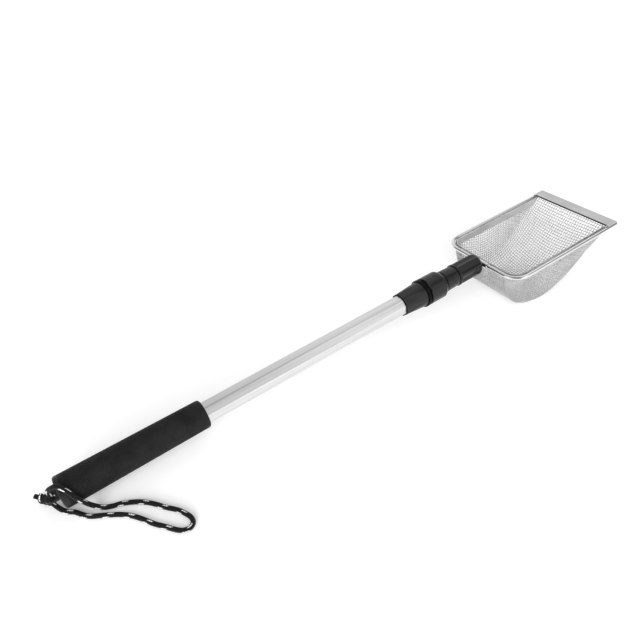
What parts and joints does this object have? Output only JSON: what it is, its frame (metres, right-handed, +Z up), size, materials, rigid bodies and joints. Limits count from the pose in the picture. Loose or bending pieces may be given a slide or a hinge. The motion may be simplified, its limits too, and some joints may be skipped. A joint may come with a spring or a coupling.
{
  "type": "leaf skimmer net",
  "caption": "Hand skimmer: a wire-mesh scoop with a flat steel front blade on a telescopic octagonal pole with a twist lock, a soft grip and a wrist cord.",
  "frame": {"origin": "on the floor, in the middle of the part's box in X and Y as the part lies at rest", "axes": "+X along the part from the butt to the blade, +Y to the left as seen from the butt, +Z up; the pole slopes up towards the scoop"},
  "size_m": [0.7985, 0.1724, 0.0912],
  "materials": {
    "grip_rubber": "fine diamond knurl",
    "black_plastic": "satin moulded",
    "nut_plastic": "satin moulded",
    "socket_plastic": "satin moulded",
    "pale_plastic": "smooth moulded",
    "cord_braid": "braided, with pale flecks",
    "outer_tube_aluminium": "satin anodised",
    "inner_tube_aluminium": "satin anodised",
    "rim_chrome": "polished",
    "blade_steel": "plain sheet",
    "band_steel": "plain sheet",
    "mesh_steel": "drawn wire"
  },
  "bodies": {
    "pole": {"grip": "grip_rubber", "grip_end_cap": "black_plastic", "wrist_cord": "cord_braid", "cord_knot": "cord_braid", "outer_tube": "outer_tube_aluminium", "lock_collar": "black_plastic", "clamp_sleeve": "pale_plastic"},
    "nut": {"lock_nut": "nut_plastic"},
    "slider": {"inner_tube": "inner_tube_aluminium", "guide_bush": "pale_plastic", "front_ferrule": "black_plastic"},
    "head": {"scoop_socket": "socket_plastic", "socket_shank": "rim_chrome", "shank_clamp": "rim_chrome", "rim_rod": "rim_chrome", "front_blade": "blade_steel", "mesh_edge_band": "band_steel", "basket_back": "mesh_steel", "basket_corner_left": "mesh_steel", "basket_corner_right": "mesh_steel", "basket_left": "mesh_steel", "basket_right": "mesh_steel", "basket_floor": "mesh_steel", "basket_ramp": "mesh_steel"}
  },
  "joints": [
    {"name": "nut_turn", "type": "hinge", "parent": "pole", "child": "nut", "pos_m": [0.10871, 0, 0.06158], "axis": [0.996, 0, 0.0898], "range_deg": [0, 270]},
    {"name": "pole_extend", "type": "slide", "parent": "pole", "child": "slider", "axis": [0.996, 0, 0.0898], "range_m": [0, 0.34]},
    {"name": "head_turn", "type": "hinge", "parent": "slider", "child": "head", "pos_m": [0.15761, 0, 0.06599], "axis": [0.996, 0, 0.0898], "range_deg": [0, 360]}
  ]
}
